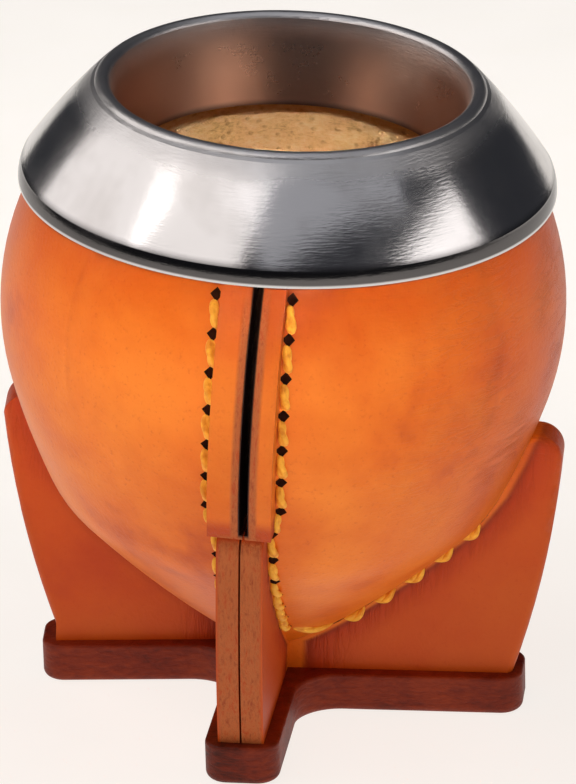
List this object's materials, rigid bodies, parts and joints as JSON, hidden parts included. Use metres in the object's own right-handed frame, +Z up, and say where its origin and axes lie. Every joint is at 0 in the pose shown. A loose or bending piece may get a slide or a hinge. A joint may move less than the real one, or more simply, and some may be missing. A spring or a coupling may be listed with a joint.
{
  "type": "mate gourd",
  "caption": "Leather-covered gourd cup with a spun metal rim, raised front seam with waxed stitching, and a cross-shaped leather foot.",
  "frame": {"origin": "centre of the leather cross on the floor, midway between the left and right arms", "axes": "+Z up, -Y towards the front seam, +X to the right of it"},
  "size_m": [0.0905, 0.0986, 0.1086],
  "materials": {
    "gourd": "matte",
    "metal": "satin",
    "leather": "satin",
    "sole_leather": "satin",
    "thread": "satin"
  },
  "bodies": {
    "root": {"gourd": "gourd", "collar": "metal", "leather_left": "leather", "leather_right": "leather", "sole": "sole_leather", "thread_front_left": "thread", "thread_front_right": "thread", "thread_back_left": "thread", "thread_back_right": "thread"}
  },
  "joints": []
}
